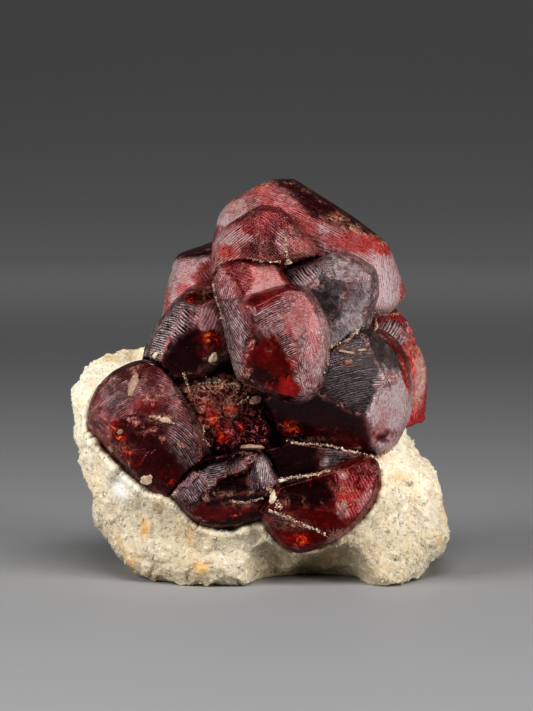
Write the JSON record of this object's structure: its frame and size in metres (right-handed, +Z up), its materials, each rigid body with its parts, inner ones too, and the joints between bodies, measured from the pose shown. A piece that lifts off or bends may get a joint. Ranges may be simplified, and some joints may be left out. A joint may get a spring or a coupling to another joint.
{
  "type": "garnet in matrix",
  "caption": "Cluster of intergrown dark red garnet crystals with growth lines, seated on a rough sugary white matrix block that stands on its flat underside.",
  "frame": {"origin": "on the ground under the middle of the specimen's outline in plan", "axes": "+Z up, +X to the right seen from the front, +Y to the back; the front with the crystals faces -Y"},
  "size_m": [0.0752, 0.0472, 0.0777],
  "materials": {
    "garnet_centre": "resinous to glassy crystal faces with fine growth lines",
    "garnet_right": "resinous to glassy crystal faces with fine growth lines",
    "garnet_lower_right": "resinous to glassy crystal faces with fine growth lines",
    "garnet_lower_middle": "resinous to glassy crystal faces with fine growth lines",
    "garnet_left": "resinous to glassy crystal faces with fine growth lines",
    "garnet_left_upper": "resinous to glassy crystal faces with fine growth lines",
    "garnet_core": "resinous to glassy crystal faces with fine growth lines",
    "garnet_upper_right": "resinous to glassy crystal faces with fine growth lines",
    "garnet_crown": "resinous to glassy crystal faces with fine growth lines",
    "garnet_left_back": "resinous to glassy crystal faces with fine growth lines",
    "garnet_right_back": "resinous to glassy crystal faces with fine growth lines",
    "garnet_lower_bar": "resinous to glassy crystal faces with fine growth lines",
    "matrix_rock": "rough, sugar-grained, matt with small sparkles"
  },
  "bodies": {
    "root": {"garnet_centre": "garnet_centre", "garnet_right": "garnet_right", "garnet_lower_right": "garnet_lower_right", "garnet_lower_middle": "garnet_lower_middle", "garnet_left": "garnet_left", "garnet_left_upper": "garnet_left_upper", "garnet_core": "garnet_core", "garnet_upper_right": "garnet_upper_right", "garnet_crown": "garnet_crown", "garnet_left_back": "garnet_left_back", "garnet_right_back": "garnet_right_back", "garnet_lower_bar": "garnet_lower_bar", "matrix_rock": "matrix_rock"}
  },
  "joints": []
}
